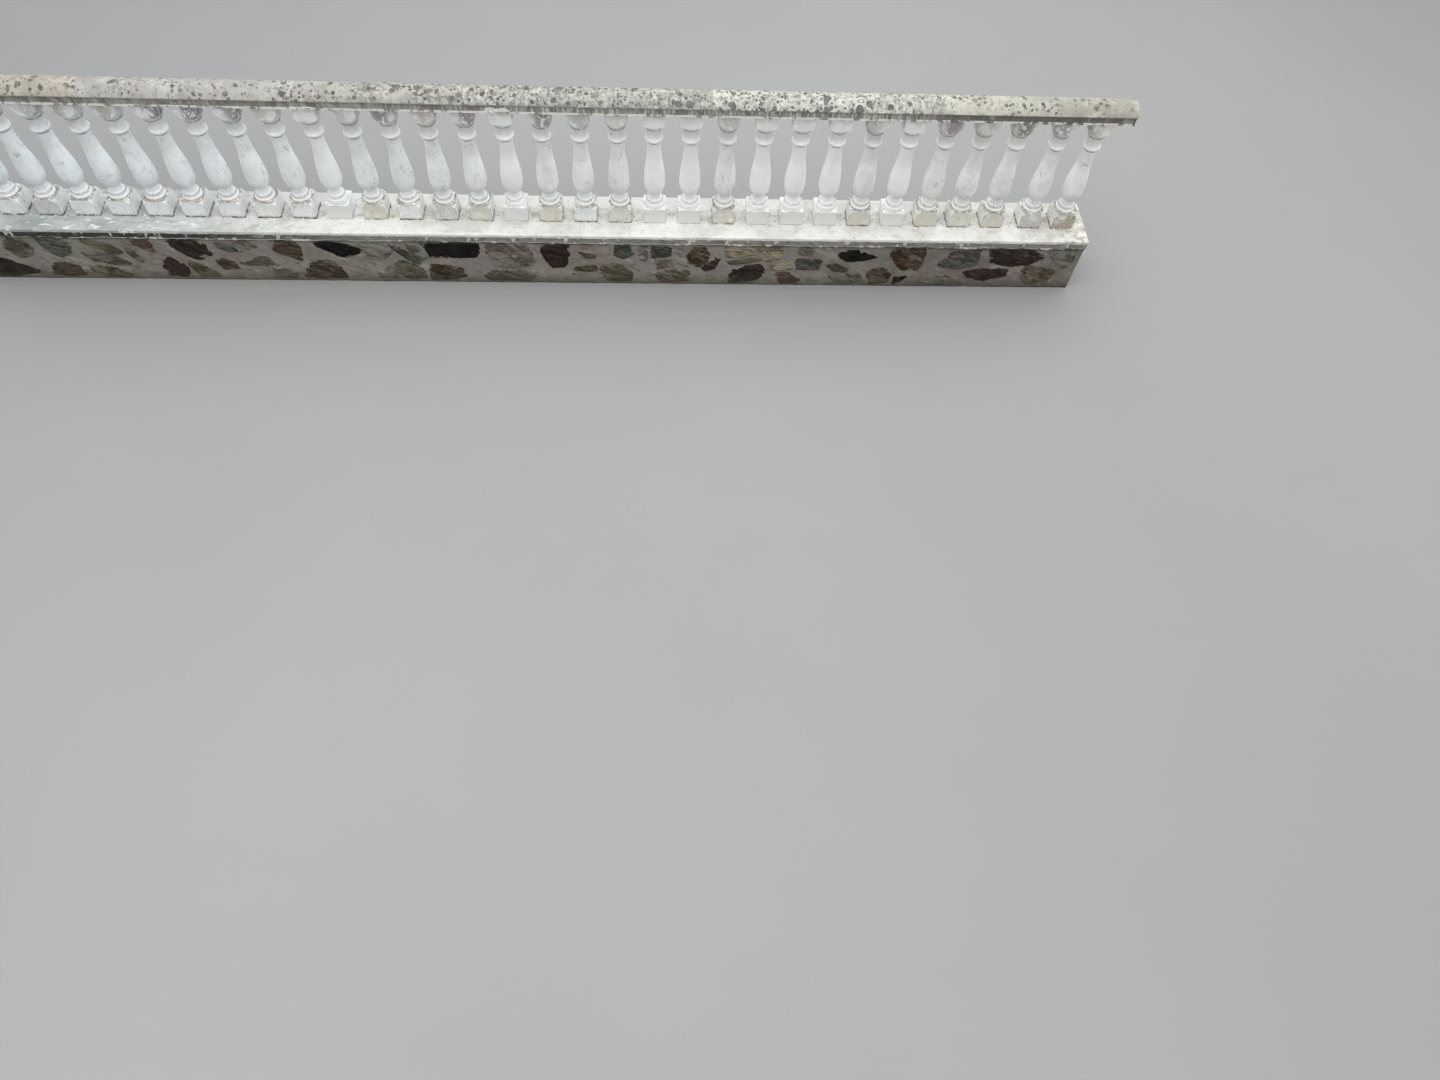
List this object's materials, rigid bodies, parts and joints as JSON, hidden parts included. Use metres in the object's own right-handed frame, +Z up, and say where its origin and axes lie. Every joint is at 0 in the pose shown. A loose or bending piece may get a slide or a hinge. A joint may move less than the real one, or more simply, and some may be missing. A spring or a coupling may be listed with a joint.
{
  "type": "stone balustrade on a low rubble wall",
  "caption": "Straight run of a cast stone balustrade: vase-shaped balusters between a painted sill and a rounded handrail, standing on a low rubble masonry wall.",
  "frame": {"origin": "on the ground, at the middle of the wall's length and thickness", "axes": "+X along the wall to the right as seen from the garden, +Y through the wall away from the garden, +Z up"},
  "size_m": [5.875, 0.304, 1.073],
  "materials": {
    "rubble_masonry": "rough",
    "mortar": "rough",
    "painted_sill": "matte",
    "weathered_cast_stone": "matte",
    "white_cast_stone": "matte",
    "lichened_cast_stone": "rough"
  },
  "bodies": {
    "root": {"rubble_wall": "rubble_masonry", "mortar_bed": "mortar", "sill": "painted_sill", "baluster_01": "weathered_cast_stone", "baluster_02": "weathered_cast_stone", "baluster_03": "weathered_cast_stone", "baluster_04": "weathered_cast_stone", "baluster_05": "weathered_cast_stone", "baluster_06": "weathered_cast_stone", "baluster_07": "weathered_cast_stone", "baluster_08": "weathered_cast_stone", "baluster_09": "weathered_cast_stone", "baluster_10": "weathered_cast_stone", "baluster_11": "white_cast_stone", "baluster_12": "weathered_cast_stone", "baluster_13": "weathered_cast_stone", "baluster_14": "weathered_cast_stone", "baluster_15": "weathered_cast_stone", "baluster_16": "white_cast_stone", "baluster_17": "weathered_cast_stone", "baluster_18": "weathered_cast_stone", "baluster_19": "weathered_cast_stone", "baluster_20": "white_cast_stone", "baluster_21": "white_cast_stone", "baluster_22": "weathered_cast_stone", "baluster_23": "white_cast_stone", "baluster_24": "white_cast_stone", "baluster_25": "white_cast_stone", "baluster_26": "weathered_cast_stone", "baluster_27": "white_cast_stone", "baluster_28": "weathered_cast_stone", "baluster_29": "weathered_cast_stone", "baluster_30": "weathered_cast_stone", "baluster_31": "weathered_cast_stone", "baluster_32": "weathered_cast_stone", "handrail_1": "lichened_cast_stone", "handrail_2": "lichened_cast_stone", "handrail_3": "lichened_cast_stone", "handrail_4": "lichened_cast_stone", "handrail_5": "lichened_cast_stone", "handrail_6": "lichened_cast_stone", "rail_joints": "mortar"}
  },
  "joints": []
}
